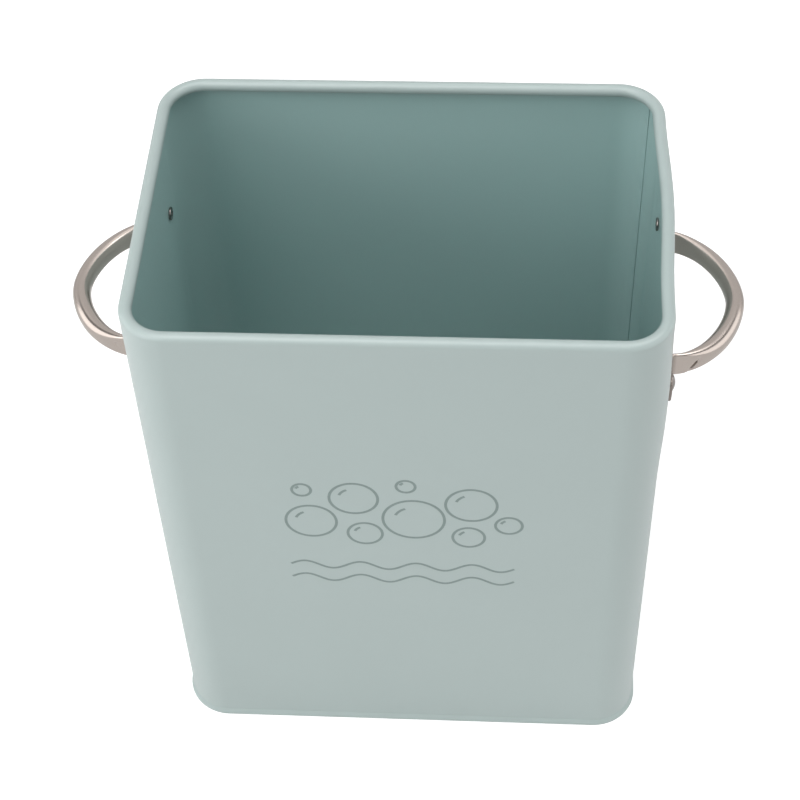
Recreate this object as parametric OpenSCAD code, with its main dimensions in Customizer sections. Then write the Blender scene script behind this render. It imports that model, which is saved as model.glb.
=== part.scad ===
// Rectangular sheet-metal storage tin, open at the top, with a rolled rim,
// a base panel hemmed round the lower edge and a riveted tube handle on each side.
// Origin: centre of the base, on the surface that the tin stands on. X is the width,
// the front faces -Y and +Z is up. Millimetres.

/* [Body] */
// Width over the wall, without the handles
body_w = 190; // [150:1:260]
// Depth over the wall, front to back
body_d = 134; // [120:1:200]
// Height to the top of the rim
body_h = 242; // [140:1:320]
// Outer radius of the upright corners
corner_r = 17; // [10:0.5:18]
// Thickness of the wall sheet
wall_t = 0.5; // [0.4:0.05:0.8]

/* [Rim] */
// Diameter of the rolled rim
rim_d = 4.2; // [3.4:0.1:6]
// How far the sheet is rolled round, from the outer face over the top
curl_turn = 300; // [270:5:305]

/* [Side seam] */
// Place of the sheet's inner end on the back right corner, from the side wall
seam_turn = 42; // [30:1:60]
// Overlap of the two ends of the sheet, with the run where the inner one sinks into the wall
lap_w = 9; // [5:0.5:11]

/* [Base] */
// Thickness of the base sheet
base_t = 0.6; // [0.4:0.05:1]
// Height of the hem that shows as a band round the foot
band_h = 3.2; // [2:0.1:6]
// Height of the underside of the base panel above the floor
panel_lift = 3.4; // [2:0.1:8]

/* [Handles] */
// Height of the rim above the middle of each handle
handle_drop = 47.5; // [20:0.5:70]
// Distance from the wall to the tube's centre at the nose of the loop
loop_reach = 27.3; // [24:0.1:45]
// Distance between the two legs of the loop, centre to centre
loop_span = 61.2; // [50:0.1:70]
// Fullness of the loop: 2 is an ellipse, and less gives a tighter nose
loop_power = 1.8; // [1.6:0.05:2.6]
// Diameter of the tube before it is bent and pressed
tube_d = 7.2; // [6.8:0.1:9]
// Thickness of the bent tube in the plane of the loop
grip_t = 6.4; // [5:0.1:6.8]
// Thickness of the tube where it is pressed flat
strip_t = 1.4; // [1:0.1:2]
// Length over which each leg opens from the flat strip to the full tube
press_run = 18.5; // [10:0.5:21]
// Inner radius of the bend between a leg and its tab
bend_r = 1; // [0.5:0.1:2]
// Length of each tab beyond the middle of its rivet
tab_reach = 5.5; // [4:0.1:7]
// Corner radius of the tabs
tab_r = 2; // [1:0.1:3]

/* [Rivets] */
// Distance between the two rivets of a handle
rivet_pitch = 80; // [79:0.5:84]
// Diameter of the shank
rivet_d = 3.2; // [2.4:0.1:4]
// Diameter of the domed head on the outside
head_d = 6.5; // [5:0.1:7]
// Height of the domed head
head_h = 1.3; // [0.8:0.1:2]
// Diameter of the clinched end on the inside
clinch_d = 5.4; // [4.4:0.1:6.4]
// Height of the clinched end
clinch_h = 1; // [0.8:0.1:1.6]
// Gap between the shank and its holes, on the radius
hole_gap = 0.05; // [0.02:0.01:0.2]

/* [Hidden] */
$fn = 96;

// Paint and metal
paint = [0.67, 0.735, 0.72];
steel = [0.70, 0.68, 0.66];

rim_r = rim_d / 2;

// The lap of the side seam fits between the roll and the base panel. Its inner face is an arc
// that starts within the wall sheet and stands a sheet's thickness proud at the seam
lap_turn = min(seam_turn, lap_w / corner_r * 180 / PI);
lap_gap = 0.3;
lap_foot = panel_lift + base_t + lap_gap;
lap_head = body_h - rim_d - lap_gap;
lap_start_r = corner_r - 0.75 * wall_t;
lap_end_r = corner_r - 2 * wall_t;
lap_shift = (pow(lap_start_r, 2) - pow(lap_end_r, 2)) / (2 * (lap_start_r - lap_end_r * cos(lap_turn)));
lap_arc_r = lap_start_r - lap_shift;

// The base panel lies inside the wall sheet and its own upright leg
leg_in = wall_t + base_t;

// Where a handle and its rivets sit on the side wall
handle_z = body_h - handle_drop;
rivet_y = rivet_pitch / 2;
hole_d = rivet_d + 2 * hole_gap;

// A leg leaves the wall after a quarter bend of the flat strip
bend_mid = bend_r + strip_t / 2;
leg_u = strip_t / 2 + bend_mid;
leg_v = loop_span / 2;
bend_v = leg_v + bend_mid;
tab_v = rivet_y + tab_reach;

// Rings along the handle: loop, each bend and each tab corner; points round half a section
loop_steps = 36;
bend_steps = 5;
corner_steps = 4;
half_ring = 10;

// Rivet details: straight edge under the dome, dimple in the clinched end and the stub in it
head_edge = 0.3;
dimple_r = clinch_d / 5;
dimple_h = clinch_h * 0.7;
stub_r = dimple_r * 0.6;

// A section swept round the body: x of the section is the distance outwards from the
// wall's outer face, y is the height
module round_the_body() {
  for (k = [0:3]) {
    across = k % 2 == 0 ? body_w : body_d;
    along = k % 2 == 0 ? body_d : body_w;
    rotate(90 * k) {
      translate([across / 2, 0, 0])
        rotate([90, 0, 0])
          linear_extrude(height = along - 2 * corner_r, center = true)
            children();
      translate([across / 2 - corner_r, along / 2 - corner_r, 0])
        rotate_extrude(angle = 90)
          translate([corner_r, 0])
            children();
    }
  }
}

// A quarter of a disc, in the quadrant that sx and sy point to
module quarter_disc(r, sx, sy) {
  intersection() {
    circle(r = r);
    translate([sx > 0 ? 0 : -r, sy > 0 ? 0 : -r])
      square(r);
  }
}

// A rectangle with round corners, inset from the body's outline
module inset_outline(inset) {
  w = body_w - 2 * inset;
  d = body_d - 2 * inset;
  r = corner_r - inset;
  square([w - 2 * r, d], center = true);
  square([w, d - 2 * r], center = true);
  for (sx = [-1, 1], sy = [-1, 1])
    translate([sx * (w / 2 - r), sy * (d / 2 - r)])
      circle(r = r);
}

// The roll of the rim: a hollow bead whose end stops short of the wall
module curl_section() {
  difference() {
    circle(r = rim_r);
    circle(r = rim_r - wall_t);
    polygon([
      [0, 0],
      rim_d * [cos(curl_turn), sin(curl_turn)],
      [rim_d, -rim_d],
      [rim_d, 0]
    ]);
  }
}

module wall_section() {
  translate([-wall_t, base_t])
    square([wall_t, body_h - rim_r - base_t]);
  translate([-rim_r, body_h - rim_r])
    curl_section();
}

// The inner end of the sheet, lapped over the outer one on the back right corner
module side_lap() {
  translate([body_w / 2 - corner_r, body_d / 2 - corner_r, lap_foot])
    rotate(seam_turn - lap_turn)
      linear_extrude(height = lap_head - lap_foot)
        difference() {
          intersection() {
            circle(r = corner_r - wall_t / 2);
            polygon([
              [0, 0],
              [2 * corner_r, 0],
              2 * corner_r * [cos(lap_turn), sin(lap_turn)]
            ]);
          }
          translate([lap_shift, 0])
            circle(r = lap_arc_r);
        }
}

module at_rivet(side, end) {
  translate([side * body_w / 2, end * rivet_y, handle_z])
    rotate([0, side * 90, 0])
      children();
}

module body_wall() {
  color(paint)
    difference() {
      union() {
        round_the_body()
          wall_section();
        side_lap();
      }
      for (side = [-1, 1], end = [-1, 1])
        at_rivet(side, end)
          cylinder(d = hole_d, h = 4 * wall_t, center = true);
    }
}

// The hem that grips the wall's lower edge: outer leg, foot and inner leg
module hem_section() {
  translate([0, base_t])
    square([base_t, band_h - 1.5 * base_t]);
  translate([0, band_h - base_t / 2])
    quarter_disc(base_t / 2, 1, 1);
  translate([0, band_h - base_t / 2])
    square(base_t / 2);
  translate([base_t / 2, band_h - base_t / 2])
    quarter_disc(base_t / 2, 1, 1);
  translate([0, base_t])
    quarter_disc(base_t, 1, -1);
  translate([-wall_t, 0])
    square([wall_t, base_t]);
  translate([-wall_t, base_t])
    quarter_disc(base_t, -1, -1);
  translate([-leg_in, base_t])
    square([base_t, panel_lift - base_t]);
  translate([-leg_in, panel_lift])
    quarter_disc(base_t, 1, 1);
}

module base_panel() {
  color(paint) {
    round_the_body()
      hem_section();
    translate([0, 0, panel_lift])
      linear_extrude(height = base_t)
        inset_outline(leg_in);
  }
}

// The handle's centre line lies in a level plane: u is the distance from the wall and
// v runs along it. Each station is [u, v, heading, thickness, height].
function ease(k) = let (c = max(0, min(1, k))) c * c * (3 - 2 * c);
function power(x, p) = sign(x) * pow(abs(x), p);

// A pressed tube keeps its girth: what it loses in thickness it gains in height
function pressed_h(t) = t + PI * (tube_d - t) / 2;

// The loop: a runs from -90 at the front leg, over 0 at the nose, to 90 at the back leg
function loop_u(a) = leg_u + (loop_reach - leg_u) * power(cos(a), 2 / loop_power);
function loop_v(a) = leg_v * power(sin(a), 2 / loop_power);
function loop_heading(a, da = 0.5) = abs(a) > 90 - da
  ? (a < 0 ? 0 : 180)
  : atan2(loop_v(a + da) - loop_v(a - da), loop_u(a + da) - loop_u(a - da));
function loop_t(a) = strip_t + (grip_t - strip_t) * ease((loop_u(a) - leg_u) / press_run);
function corner_loss(g) = 2 * tab_r * (1 - sin(g));

tab_rings = [
  for (i = [0:corner_steps])
    let (g = 90 * i / corner_steps)
    [strip_t / 2, -tab_v + tab_r * (1 - cos(g)), 90, strip_t, pressed_h(strip_t) - corner_loss(g)]
];

bend_rings = [
  for (i = [0:bend_steps - 1])
    let (g = 90 * i / bend_steps)
    [leg_u - bend_mid * cos(g), -bend_v + bend_mid * sin(g), 90 - g, strip_t, pressed_h(strip_t)]
];

loop_rings = [
  for (i = [0:loop_steps])
    let (a = -90 + 180 * i / loop_steps)
    [loop_u(a), loop_v(a), loop_heading(a), loop_t(a), pressed_h(loop_t(a))]
];

function other_end(rings) = [
  for (i = [len(rings) - 1:-1:0])
    let (s = rings[i])
    [s[0], -s[1], 180 - s[2], s[3], s[4]]
];

handle_rings = concat(
  tab_rings,
  bend_rings,
  loop_rings,
  other_end(bend_rings),
  other_end(tab_rings)
);

// Half of a flattened tube's outline; the other half is the same, turned half a turn
function half_section(t, h) = [
  for (j = [0:half_ring - 1])
    let (g = 180 * j / (half_ring - 1))
    [t / 2 * cos(g), (h - t) / 2 + t / 2 * sin(g)]
];

function ring_points(s) =
  let (half = half_section(s[3], s[4]))
  [
    for (p = concat(half, -half))
      [s[0] - p[0] * sin(s[2]), s[1] + p[0] * cos(s[2]), p[1]]
  ];

module tube_handle() {
  n = 2 * half_ring;
  last = len(handle_rings) - 1;
  points = [for (s = handle_rings) each ring_points(s)];
  skin = [
    for (i = [0:last - 1], j = [0:n - 1])
      let (k = (j + 1) % n)
      [i * n + j, (i + 1) * n + j, (i + 1) * n + k, i * n + k]
  ];
  start_cap = [for (j = [0:n - 1]) j];
  end_cap = [for (j = [n - 1:-1:0]) last * n + j];
  polyhedron(points, concat([start_cap], skin, [end_cap]), convexity = 6);
}

module handle(side) {
  color(steel)
    difference() {
      translate([side * body_w / 2, 0, handle_z])
        mirror([side > 0 ? 0 : 1, 0, 0])
          tube_handle();
      for (end = [-1, 1])
        at_rivet(side, end)
          translate([0, 0, -strip_t])
            cylinder(d = hole_d, h = 3 * strip_t);
    }
}

// Half section of a rivet: x is the radius, y runs outwards from the wall's outer face
module rivet_section() {
  head_r = head_d / 2;
  cap_h = head_h - head_edge;
  dome_r = (head_r * head_r + cap_h * cap_h) / (2 * cap_h);
  translate([0, strip_t])
    square([head_r, head_edge]);
  translate([0, strip_t + head_edge])
    intersection() {
      translate([0, cap_h - dome_r])
        circle(r = dome_r);
      square([head_r, cap_h]);
    }
  translate([0, -wall_t])
    square([rivet_d / 2, wall_t + strip_t]);
  difference() {
    union() {
      translate([0, -wall_t - clinch_h])
        square([clinch_d / 2 - clinch_h / 2, clinch_h]);
      translate([clinch_d / 2 - clinch_h / 2, -wall_t - clinch_h / 2])
        circle(d = clinch_h);
    }
    translate([0, -wall_t - clinch_h])
      square([dimple_r, dimple_h]);
  }
  translate([0, -wall_t - clinch_h + dimple_h])
    quarter_disc(stub_r, 1, -1);
}

module rivet(side, end) {
  color(steel)
    at_rivet(side, end)
      rotate_extrude()
        rivet_section();
}

body_wall();
base_panel();
handle(-1);  // left_handle
handle(1);  // right_handle
rivet(-1, -1);  // left_front_rivet
rivet(-1, 1);  // left_back_rivet
rivet(1, -1);  // right_front_rivet
rivet(1, 1);  // right_back_rivet
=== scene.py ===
# %% [markdown]
# # A painted sheet-steel tin with two tube handles
# The tin is one sheet wrapped into a rounded box, its top edge rolled into a hollow bead and its
# foot gripped by the hem of the base. Two steel loops are riveted to its sides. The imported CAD
# model gives the overall sizes and places. This file makes the pieces again with smooth surfaces,
# because the model's solids are faceted where a tube is pressed, and gives them their finishes.

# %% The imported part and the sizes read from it
import math

import bmesh
import bpy
from mathutils import Matrix, Vector


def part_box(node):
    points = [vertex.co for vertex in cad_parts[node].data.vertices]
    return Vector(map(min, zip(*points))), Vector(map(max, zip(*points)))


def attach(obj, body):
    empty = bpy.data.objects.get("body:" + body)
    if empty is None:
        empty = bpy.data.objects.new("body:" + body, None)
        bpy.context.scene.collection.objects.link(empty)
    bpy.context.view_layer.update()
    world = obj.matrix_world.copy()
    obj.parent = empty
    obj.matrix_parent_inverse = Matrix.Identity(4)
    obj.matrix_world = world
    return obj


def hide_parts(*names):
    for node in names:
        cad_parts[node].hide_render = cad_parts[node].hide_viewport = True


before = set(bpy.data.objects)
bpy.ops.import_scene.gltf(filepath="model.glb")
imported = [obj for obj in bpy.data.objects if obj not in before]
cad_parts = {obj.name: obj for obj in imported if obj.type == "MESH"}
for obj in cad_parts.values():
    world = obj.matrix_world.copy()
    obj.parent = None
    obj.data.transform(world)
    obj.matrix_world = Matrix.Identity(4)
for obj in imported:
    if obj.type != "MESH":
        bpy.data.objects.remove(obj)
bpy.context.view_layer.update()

MM = 0.001
wall_low, wall_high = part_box("body_wall")
tab_low, tab_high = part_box("right_handle")
HALF_W = wall_high.x
HALF_D = wall_high.y
TOP = wall_high.z
HANDLE_Z = (tab_low.z + tab_high.z) / 2
LEFT, RIGHT = -1, 1
print(f"tin {2 * HALF_W:.3f} x {2 * HALF_D:.3f} x {TOP:.3f} m, handles at {HANDLE_Z:.4f} m")

# %% [markdown]
# ## Helpers
# Colours are written as the sRGB hex values that a picture shows. Blender's sockets want linear
# light, so one function turns them. Another adds a node with its settings and links, which keeps
# each node tree a list of short lines.

# %% Colour and node helpers
def linear(hex_colour):
    """The linear RGBA of an sRGB hex colour such as #A0B4B1."""
    parts = [int(hex_colour[k : k + 2], 16) / 255 for k in (1, 3, 5)]
    return [c / 12.92 if c <= 0.04045 else ((c + 0.055) / 1.055) ** 2.4 for c in parts] + [1.0]


def add(tree, kind, inputs=None, **settings):
    """Adds a node. Inputs are values, sockets or nodes, by the socket's name or number."""
    node = tree.nodes.new(kind)
    for name, value in settings.items():
        setattr(node, name, value)
    for key, value in (inputs or {}).items():
        if isinstance(value, bpy.types.Node):
            value = next(s for s in value.outputs if s.enabled)
        if isinstance(value, bpy.types.NodeSocket):
            tree.links.new(value, node.inputs[key])
        else:
            node.inputs[key].default_value = value
    return node


print("helpers ready, mid grey is", [round(c, 3) for c in linear("#808080")[:3]])

# %% [markdown]
# ## Camera
# The photograph looks down at the front from a little to the right of it, with a long lens. The
# camera stands on a sphere round a target inside the tin, and is rolled a little. A constraint
# could aim it at an empty. Three angles and a distance need no extra object and can be read.

# %% Camera
LENS = 86.52
SENSOR = 36
AZIMUTH, ELEVATION, ROLL = (math.radians(a) for a in (4.978, 49.997, -2.524))
DISTANCE = 0.7681
TARGET = Vector((-0.00397, 0.0, 0.1326))


def aimed_camera():
    """The camera, from the direction that it looks back along and its roll."""
    back = Vector((
        math.sin(AZIMUTH) * math.cos(ELEVATION),
        -math.cos(AZIMUTH) * math.cos(ELEVATION),
        math.sin(ELEVATION),
    ))
    level = (-back).cross(Vector((0, 0, 1))).normalized()
    upright = back.cross(level)
    right = level * math.cos(ROLL) + upright * math.sin(ROLL)
    up = upright * math.cos(ROLL) - level * math.sin(ROLL)
    camera = bpy.data.objects.new("camera", bpy.data.cameras.new("camera"))
    camera.data.lens = LENS
    camera.data.sensor_width = SENSOR
    turn = Matrix((right, up, back)).transposed().to_4x4()
    camera.matrix_world = Matrix.Translation(TARGET + back * DISTANCE) @ turn
    bpy.context.scene.collection.objects.link(camera)
    bpy.context.scene.camera = camera
    return camera


print("camera at", [round(c, 3) for c in aimed_camera().matrix_world.translation])

# %% [markdown]
# ## Paint
# The tin is sheet steel with a sprayed and baked enamel, pale grey-green. Baked enamel is smooth
# with a soft gloss: it has a faint orange peel, waves a millimetre or two across, which blur the
# reflections a little. The colour drifts by about a hundredth over the sheet. Inside, the colour
# is painted deeper and bluer: painted shade for the inside, which lies in shade and is lit by its
# own bounced light. A second material could do that, but one that reads a mark on the wall's
# points lets peel and gloss run on over the rim without a border.

# %% Baked enamel
ENAMEL = "#ABB9B7"
# Painted shade: a deeper, bluer copy of the enamel for the inside walls, which stands in for their
# shade.
INSIDE_SHADE_TINT = "#A8C5C3"
PEEL = 1.6 * MM
PEEL_DEPTH = 0.03 * MM
PEEL_GLOSS = (0.30, 0.38)
DRIFT = 60 * MM
DRIFT_TONE = (0.985, 1.015)


def baked_enamel():
    """Pale grey-green baked enamel: the eye gets a soft sheen that the peel breaks up a little."""
    material = bpy.data.materials.new("baked_enamel")
    material.use_nodes = True
    tree = material.node_tree
    shader = tree.nodes["Principled BSDF"]
    place = add(tree, "ShaderNodeTexCoord").outputs["Object"]
    drift = add(tree, "ShaderNodeTexNoise", {"Vector": place, "Scale": 1 / DRIFT, "Detail": 2.0})
    drifting = {0: drift.outputs["Fac"], 3: DRIFT_TONE[0], 4: DRIFT_TONE[1]}
    value = add(tree, "ShaderNodeMapRange", drifting)
    # Where the inside mark is set, the enamel gives way to the painted inside shade colour.
    inside = add(tree, "ShaderNodeAttribute", attribute_name="lining").outputs["Fac"]
    enamel_and_inside_shade = {"Factor": inside, 6: linear(ENAMEL), 7: linear(INSIDE_SHADE_TINT)}
    enamel_with_inside_shade = add(tree, "ShaderNodeMix", enamel_and_inside_shade, data_type="RGBA")
    colour = add(tree, "ShaderNodeHueSaturation", {"Value": value, "Color": enamel_with_inside_shade})
    tree.links.new(colour.outputs[0], shader.inputs["Base Color"])
    peel = add(tree, "ShaderNodeTexNoise", {"Vector": place, "Scale": 1 / PEEL, "Detail": 1.0})
    dulled = {0: peel.outputs["Fac"], 3: PEEL_GLOSS[0], 4: PEEL_GLOSS[1]}
    gloss = add(tree, "ShaderNodeMapRange", dulled)
    tree.links.new(gloss.outputs[0], shader.inputs["Roughness"])
    waves = {"Height": peel.outputs["Fac"], "Strength": 0.25, "Distance": PEEL_DEPTH}
    bump = add(tree, "ShaderNodeBump", waves)
    tree.links.new(bump.outputs[0], shader.inputs["Normal"])
    shader.inputs["IOR"].default_value = 1.5
    shader.inputs["Coat Weight"].default_value = 0.25
    shader.inputs["Coat Roughness"].default_value = 0.12
    return material


enamel = baked_enamel()
print("made", enamel.name)

# %% [markdown]
# ## Steel
# The handles are stainless tube, polished along its length on a belt. Belt polish leaves fine
# lines that run with the tube. The tube could be unwrapped for them. Here the pattern reads an
# attribute that the tube's own tree writes, the distance along it and the direction round it,
# which follows every bend. The flat tabs are uneven from the press, and their steel is darkened
# as painted shade where they lie against the wall. The rivets' steel is painted darker too, for
# the dark reflection there, and they carry the marks of the hammer.

# %% Belt-polished tube and hammered rivets
TUBE_STEEL = "#B4AAA3"
# The rivets' steel colour is painted darker, standing in for the dark reflection round the tabs.
RIVET_STEEL_PAINTED_DARK = "#8F8985"
NOISE_LOW, NOISE_HIGH = 0.3, 0.7
LINE_LENGTH = 14 * MM
LINES_ROUND = 9.0
LINE_TONE = (0.93, 1.05)
LINE_GLOSS = (0.16, 0.26)
LINE_DEPTH = 0.02 * MM
PRESS_MARKS = 1.8 * MM
PRESS_DEPTH = 0.5 * MM
PRESS_STRENGTH = 0.9
TAB_NEAR = HALF_W + 1.6 * MM
TAB_FAR = HALF_W + 3.6 * MM
# Painted shade: how far the tabs' steel is darkened where it lies against the wall.
TAB_PAINTED_SHADE = 0.5
HAMMER_MARKS = 1.1 * MM
HAMMER_DEPTH = 0.15 * MM
HAMMER_TONE = (0.8, 1.1)
# How far each side of the tin has been pulled out where its handle holds it.
PULL = {LEFT: 0.0, RIGHT: 0.95 * MM}


def polished_tube():
    """Polished stainless tube: clear reflections drawn out into streaks along the tube, and painted
    shade that darkens the tabs against the wall.
    """
    material = bpy.data.materials.new("belt_polished_steel")
    material.use_nodes = True
    tree = material.node_tree
    shader = tree.nodes["Principled BSDF"]
    grain = add(tree, "ShaderNodeAttribute", attribute_name="grain").outputs["Vector"]
    stretch = (1 / LINE_LENGTH, LINES_ROUND, LINES_ROUND)
    drawn = add(tree, "ShaderNodeMapping", {"Vector": grain, "Scale": stretch})
    lines = add(tree, "ShaderNodeTexNoise", {"Vector": drawn, "Scale": 1.0, "Detail": 3.0})
    noise = {0: lines.outputs["Fac"], 1: NOISE_LOW, 2: NOISE_HIGH}
    tone = add(tree, "ShaderNodeMapRange", noise | {3: LINE_TONE[0], 4: LINE_TONE[1]})
    place = add(tree, "ShaderNodeTexCoord").outputs["Object"]
    where = add(tree, "ShaderNodeSeparateXYZ", {0: place})
    pull = (PULL[LEFT] + PULL[RIGHT]) / 2
    moved = add(tree, "ShaderNodeMath", {0: where.outputs["X"], 1: pull}, operation="SUBTRACT")
    out = add(tree, "ShaderNodeMath", {0: moved}, operation="ABSOLUTE")
    tab_fade = {0: out, 1: TAB_NEAR + pull, 2: TAB_FAR + pull, 3: 1.0, 4: 0.0}
    tab = add(tree, "ShaderNodeMapRange", tab_fade)
    # Painted shade: the steel's colour darkens over the tabs, towards the wall.
    tab_painted_shade = add(tree, "ShaderNodeMapRange", {0: tab, 3: 1.0, 4: TAB_PAINTED_SHADE})
    value = add(tree, "ShaderNodeMath", {0: tone, 1: tab_painted_shade}, operation="MULTIPLY")
    colour = add(tree, "ShaderNodeHueSaturation", {"Value": value, "Color": linear(TUBE_STEEL)})
    tree.links.new(colour.outputs[0], shader.inputs["Base Color"])
    gloss = add(tree, "ShaderNodeMapRange", noise | {3: LINE_GLOSS[0], 4: LINE_GLOSS[1]})
    tree.links.new(gloss.outputs[0], shader.inputs["Roughness"])
    marks = add(tree, "ShaderNodeTexNoise", {"Vector": place, "Scale": 1 / PRESS_MARKS, "Detail": 2.0})
    depth = add(tree, "ShaderNodeMath", {0: tab, 1: PRESS_STRENGTH}, operation="MULTIPLY")
    dents = {"Height": marks.outputs["Fac"], "Strength": depth, "Distance": PRESS_DEPTH}
    pressed = add(tree, "ShaderNodeBump", dents)
    fine = {"Height": lines.outputs["Fac"], "Strength": 0.2, "Distance": LINE_DEPTH}
    bump = add(tree, "ShaderNodeBump", fine | {"Normal": pressed})
    tree.links.new(bump.outputs[0], shader.inputs["Normal"])
    shader.inputs["Metallic"].default_value = 1.0
    return material


def hammered_rivet():
    """Steel rivets painted darker for the dark reflection round the tabs, with hammer marks that break
    the shine up into small glints.
    """
    material = bpy.data.materials.new("hammered_rivet_steel")
    material.use_nodes = True
    tree = material.node_tree
    shader = tree.nodes["Principled BSDF"]
    place = add(tree, "ShaderNodeTexCoord").outputs["Object"]
    marks = add(tree, "ShaderNodeTexNoise", {"Vector": place, "Scale": 1 / HAMMER_MARKS, "Detail": 2.0})
    uneven = {0: marks.outputs["Fac"], 3: HAMMER_TONE[0], 4: HAMMER_TONE[1]}
    tone = add(tree, "ShaderNodeMapRange", uneven)
    colour = add(tree, "ShaderNodeHueSaturation", {"Value": tone, "Color": linear(RIVET_STEEL_PAINTED_DARK)})
    tree.links.new(colour.outputs[0], shader.inputs["Base Color"])
    dents = {"Height": marks.outputs["Fac"], "Strength": 0.6, "Distance": HAMMER_DEPTH}
    bump = add(tree, "ShaderNodeBump", dents)
    tree.links.new(bump.outputs[0], shader.inputs["Normal"])
    shader.inputs["Metallic"].default_value = 1.0
    shader.inputs["Roughness"].default_value = 0.22
    return material


tube_steel, rivet_steel = polished_tube(), hammered_rivet()
print("made", tube_steel.name, "and", rivet_steel.name)

# %% [markdown]
# ## From a path to a piece
# Bending sheet is a sweep: one flat section carried along a path. Curves hold the paths and the
# sections, and Geometry Nodes carry one along the other. A flat sheet with a Solidify modifier
# would be quicker, but a closed section can also roll up into a hollow bead. The result becomes
# a plain mesh, its faces turned outwards, with smooth shading broken only where the metal has a
# real edge.

# %% Paths, trees and finished pieces
EDGE_ANGLE = math.radians(38)
WELD = 0.001 * MM
FACE_WEIGHT = 90


def path(name, points, closed=False, radii=None):
    """A straight-line curve object through the points, for Geometry Nodes to use."""
    data = bpy.data.curves.new(name, "CURVE")
    data.dimensions = "3D"
    spline = data.splines.new("POLY")
    spline.points.add(len(points) - 1)
    for k, point in enumerate(points):
        spline.points[k].co = (*point, *[0.0] * (3 - len(point)), 1.0)
        spline.points[k].radius = radii[k] if radii else 1.0
    spline.use_cyclic_u = closed
    curve = bpy.data.objects.new(name, data)
    bpy.context.scene.collection.objects.link(curve)
    return curve


def arc(x, y, r, start, end, steps):
    """Points on an arc, both ends included, angles in degrees."""
    turns = [math.radians(start + (end - start) * k / steps) for k in range(steps + 1)]
    return [(x + r * math.cos(t), y + r * math.sin(t)) for t in turns]


def new_tree(name, inputs):
    """An empty modifier tree with named inputs: its group input and output come with it."""
    tree = bpy.data.node_groups.new(name, "GeometryNodeTree")
    tree.is_modifier = True
    tree.interface.new_socket("Geometry", in_out="INPUT", socket_type="NodeSocketGeometry")
    tree.interface.new_socket("Geometry", in_out="OUTPUT", socket_type="NodeSocketGeometry")
    for label, kind in inputs.items():
        tree.interface.new_socket(label, in_out="INPUT", socket_type="NodeSocket" + kind)
    return tree, tree.nodes.new("NodeGroupInput").outputs, tree.nodes.new("NodeGroupOutput").inputs


def grown(name, source, tree, **values):
    """Runs a tree on the source object and keeps the result as a plain mesh."""
    modifier = source.modifiers.new("grow", "NODES")
    modifier.node_group = tree
    for item in tree.interface.items_tree:
        key = item.name.lower().replace(" ", "_")
        if item.in_out == "INPUT" and key in values:
            modifier[item.identifier] = values[key]
    view = bpy.context.evaluated_depsgraph_get()
    mesh = bpy.data.meshes.new_from_object(source.evaluated_get(view), depsgraph=view)
    bpy.data.objects.remove(source)
    mesh.name = name
    piece = bpy.data.objects.new(name, mesh)
    bpy.context.scene.collection.objects.link(piece)
    return piece


def carved(piece, tool, operation):
    """Unites the tool object with the piece, or cuts it out of the piece."""
    modifier = piece.modifiers.new("carve", "BOOLEAN")
    modifier.object = tool
    modifier.operation = operation
    modifier.solver = "EXACT"
    view = bpy.context.evaluated_depsgraph_get()
    rough = piece.data
    piece.data = bpy.data.meshes.new_from_object(piece.evaluated_get(view), depsgraph=view)
    piece.modifiers.clear()
    piece.data.name = piece.name
    bpy.data.meshes.remove(rough)
    bpy.data.objects.remove(tool)


def shape_of(name, work):
    """A plain object from a bmesh, for a modifier or a boolean to use."""
    mesh = bpy.data.meshes.new(name)
    work.to_mesh(mesh)
    work.free()
    shape = bpy.data.objects.new(name, mesh)
    bpy.context.scene.collection.objects.link(shape)
    return shape


def finished(piece, slot, *nodes):
    """Closes and turns the mesh outwards, shades it, and lets the piece stand for its CAD nodes."""
    work = bmesh.new()
    work.from_mesh(piece.data)
    bmesh.ops.remove_doubles(work, verts=work.verts, dist=WELD)
    rims = [e for e in work.edges if len(e.link_faces) == 1]
    bmesh.ops.holes_fill(work, edges=rims)
    bmesh.ops.recalc_face_normals(work, faces=work.faces)
    if work.calc_volume(signed=True) < 0:
        bmesh.ops.reverse_faces(work, faces=work.faces)
    open_edges = sum(1 for e in work.edges if len(e.link_faces) != 2)
    volume = work.calc_volume(signed=True)
    work.to_mesh(piece.data)
    work.free()
    piece.data.shade_smooth()
    piece.data.set_sharp_from_angle(angle=EDGE_ANGLE)
    normals = piece.modifiers.new("weighted_normals", "WEIGHTED_NORMAL")
    normals.keep_sharp = True
    normals.weight = FACE_WEIGHT
    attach(piece, "root")
    if nodes:
        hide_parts(*nodes)
    faces = len(piece.data.polygons)
    print(f"{piece.name}: {faces} faces, {volume * 1e6:.2f} cm3, {open_edges} open edges")


# %% [markdown]
# ## The sweep round the tin
# The wall and the hem of the base follow the same rounded rectangle, so one tree makes both and
# they fit each other. The curve's normal is held level, which puts the section's first number
# outwards and its second downwards. A bevel object on the curve would sweep the same shape, but
# with its own rule for which way the section faces.

# %% Sheet sweep
CORNER_R = 17 * MM
CORNER_STEPS = 18
SIDE_STEPS = 14


def sweep_tree():
    """Carries a section object along the path that the modifier sits on."""
    tree, given, out = new_tree("sheet_sweep", {"Section": "Object", "Finish": "Material"})
    section = add(tree, "GeometryNodeObjectInfo", {"Object": given["Section"]})
    level = add(tree, "GeometryNodeSetCurveNormal", {"Curve": given["Geometry"]}, mode="Z_UP")
    sheet = add(tree, "GeometryNodeCurveToMesh", {
        "Curve": level,
        "Profile Curve": section.outputs["Geometry"],
    })
    solid = add(tree, "GeometryNodeRealizeInstances", {"Geometry": sheet})
    finish = add(tree, "GeometryNodeSetMaterial", {"Geometry": solid, "Material": given["Finish"]})
    tree.links.new(finish.outputs[0], out["Geometry"])
    return tree


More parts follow.
